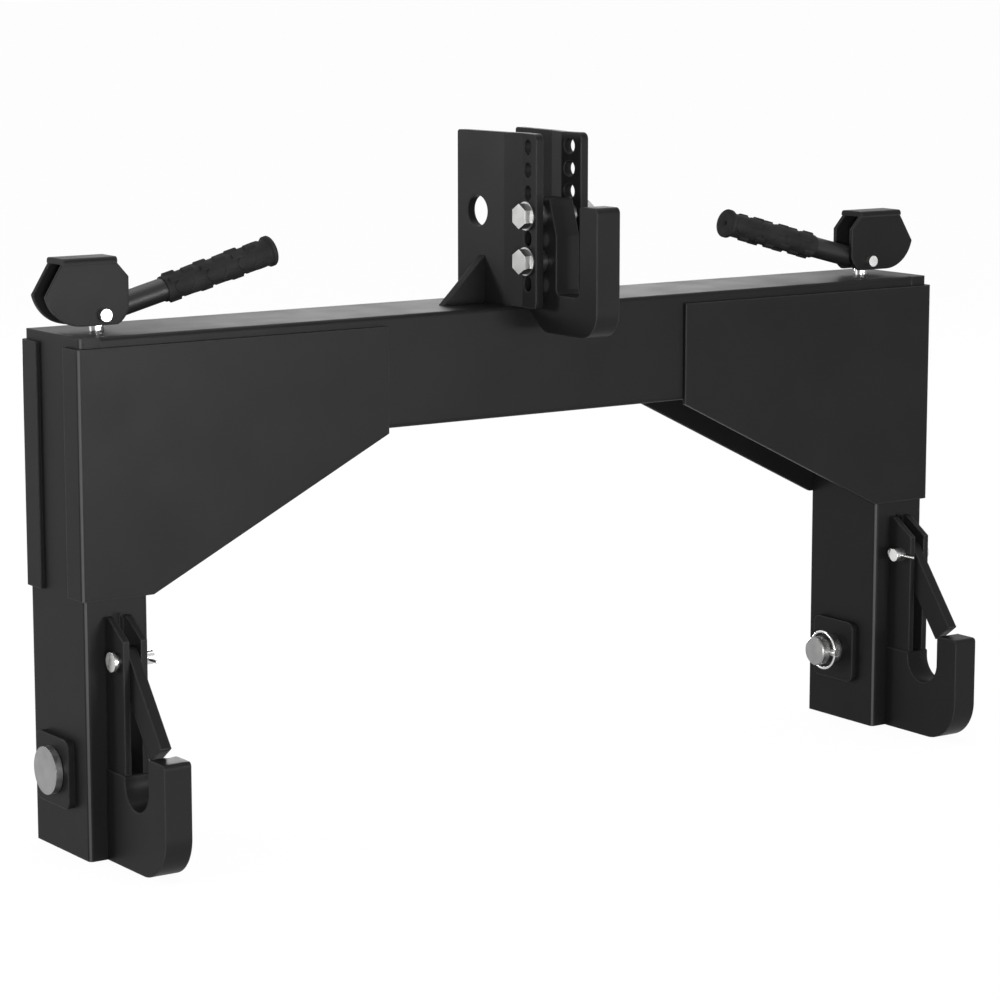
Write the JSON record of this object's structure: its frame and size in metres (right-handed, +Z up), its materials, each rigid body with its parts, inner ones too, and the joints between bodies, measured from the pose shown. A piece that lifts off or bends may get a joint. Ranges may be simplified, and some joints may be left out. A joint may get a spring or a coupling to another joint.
{
  "type": "three-point quick hitch",
  "caption": "Black steel three-point quick hitch: arched frame with a bolted top hook, two latched lower hooks, lower link pins and cam-handle latch releases.",
  "frame": {"origin": "under the frame, in the centre plane between the legs and in the middle of the overall depth, level with the bottoms of the legs and lower hooks", "axes": "+X along the crossbeam to the right as seen from the implement side, -Y toward the implement (the side the hooks open on), +Y toward the tractor, +Z up"},
  "size_m": [0.7506, 0.1596, 0.4712],
  "materials": {
    "black_paint": "satin powder coat",
    "bright_steel": "zinc plated",
    "plated_steel": "zinc plated",
    "grip_rubber": "matt moulded"
  },
  "bodies": {
    "frame": {"crossbeam": "black_paint", "top_hook": "black_paint", "lower_hook_bolt": "plated_steel", "lower_hook_nut": "plated_steel", "lower_left_washer": "plated_steel", "lower_right_washer": "plated_steel", "lower_left_spacer": "plated_steel", "lower_right_spacer": "plated_steel", "upper_hook_bolt": "plated_steel", "upper_hook_nut": "plated_steel", "upper_left_washer": "plated_steel", "upper_right_washer": "plated_steel", "upper_left_spacer": "plated_steel", "upper_right_spacer": "plated_steel", "left_leg": "black_paint", "left_front_gusset": "black_paint", "left_rear_gusset": "black_paint", "left_mast_plate": "black_paint", "left_mast_brace": "black_paint", "left_outer_doubler": "black_paint", "left_inner_doubler": "black_paint", "left_lower_hook": "black_paint", "left_outer_ear": "black_paint", "left_inner_ear": "black_paint", "left_latch_pin": "bright_steel", "left_cotter": "bright_steel", "left_rod_spring": "bright_steel", "right_leg": "black_paint", "right_front_gusset": "black_paint", "right_rear_gusset": "black_paint", "right_mast_plate": "black_paint", "right_mast_brace": "black_paint", "right_outer_doubler": "black_paint", "right_inner_doubler": "black_paint", "right_lower_hook": "black_paint", "right_outer_ear": "black_paint", "right_inner_ear": "black_paint", "right_latch_pin": "bright_steel", "right_cotter": "bright_steel", "right_rod_spring": "bright_steel"},
    "left_rod": {"left_release_rod": "bright_steel", "left_cross_pin": "bright_steel"},
    "left_handle": {"left_cam_housing": "black_paint", "left_cam_pin": "bright_steel", "left_handle_tube": "black_paint", "left_handle_grip": "grip_rubber"},
    "left_latch": {"left_latch_finger": "black_paint"},
    "left_hitch_pin": {"left_lower_pin": "bright_steel", "left_linch_peg": "bright_steel"},
    "left_ring": {"left_linch_ring": "bright_steel"},
    "right_rod": {"right_release_rod": "bright_steel", "right_cross_pin": "bright_steel"},
    "right_handle": {"right_cam_housing": "black_paint", "right_cam_pin": "bright_steel", "right_handle_tube": "black_paint", "right_handle_grip": "grip_rubber"},
    "right_latch": {"right_latch_finger": "black_paint"},
    "right_hitch_pin": {"right_lower_pin": "bright_steel", "right_linch_peg": "bright_steel"},
    "right_ring": {"right_linch_ring": "bright_steel"}
  },
  "joints": [
    {"name": "left_rod_lift", "type": "slide", "parent": "frame", "child": "left_rod", "axis": [0, 0, 1], "range_m": [0, 0.03249], "stiffness_N_per_m": 800, "springref_m": -0.012, "deforming": ["left_rod_spring"]},
    {"name": "left_handle_turn", "type": "hinge", "parent": "left_rod", "child": "left_handle", "pos_m": [-0.332, 0.04, 0.3604], "axis": [0, -1, 0], "range_deg": [0, 90]},
    {"name": "left_latch_swing", "type": "hinge", "parent": "frame", "child": "left_latch", "pos_m": [-0.3415, -0.0131, 0.1372], "axis": [1, 0, 0], "range_deg": [0, 34]},
    {"name": "left_pin_pull", "type": "slide", "parent": "frame", "child": "left_hitch_pin", "axis": [-1, 0, 0], "range_m": [0, 0.0065]},
    {"name": "left_ring_open", "type": "hinge", "parent": "left_hitch_pin", "child": "left_ring", "pos_m": [-0.303, 0.0293, 0.0555], "axis": [0, 0, -1], "range_deg": [0, 100]},
    {"name": "right_rod_lift", "type": "slide", "parent": "frame", "child": "right_rod", "axis": [0, 0, 1], "range_m": [0, 0.03249], "stiffness_N_per_m": 800, "springref_m": -0.012, "deforming": ["right_rod_spring"]},
    {"name": "right_handle_turn", "type": "hinge", "parent": "right_rod", "child": "right_handle", "pos_m": [0.332, 0.04, 0.3604], "axis": [0, 1, 0], "range_deg": [0, 90]},
    {"name": "right_latch_swing", "type": "hinge", "parent": "frame", "child": "right_latch", "pos_m": [0.3415, -0.0131, 0.1372], "axis": [1, 0, 0], "range_deg": [0, 34]},
    {"name": "right_pin_pull", "type": "slide", "parent": "frame", "child": "right_hitch_pin", "axis": [1, 0, 0], "range_m": [0, 0.0065]},
    {"name": "right_ring_open", "type": "hinge", "parent": "right_hitch_pin", "child": "right_ring", "pos_m": [0.303, 0.0293, 0.0555], "axis": [0, 0, 1], "range_deg": [0, 100]}
  ],
  "couplings": [
    {"joint": "left_rod_lift", "follows": "left_handle_turn", "m_per_rad": 0.02067},
    {"joint": "left_latch_swing", "follows": "left_handle_turn", "ratio": 0.3777},
    {"joint": "right_rod_lift", "follows": "right_handle_turn", "m_per_rad": 0.02067},
    {"joint": "right_latch_swing", "follows": "right_handle_turn", "ratio": 0.3777}
  ]
}
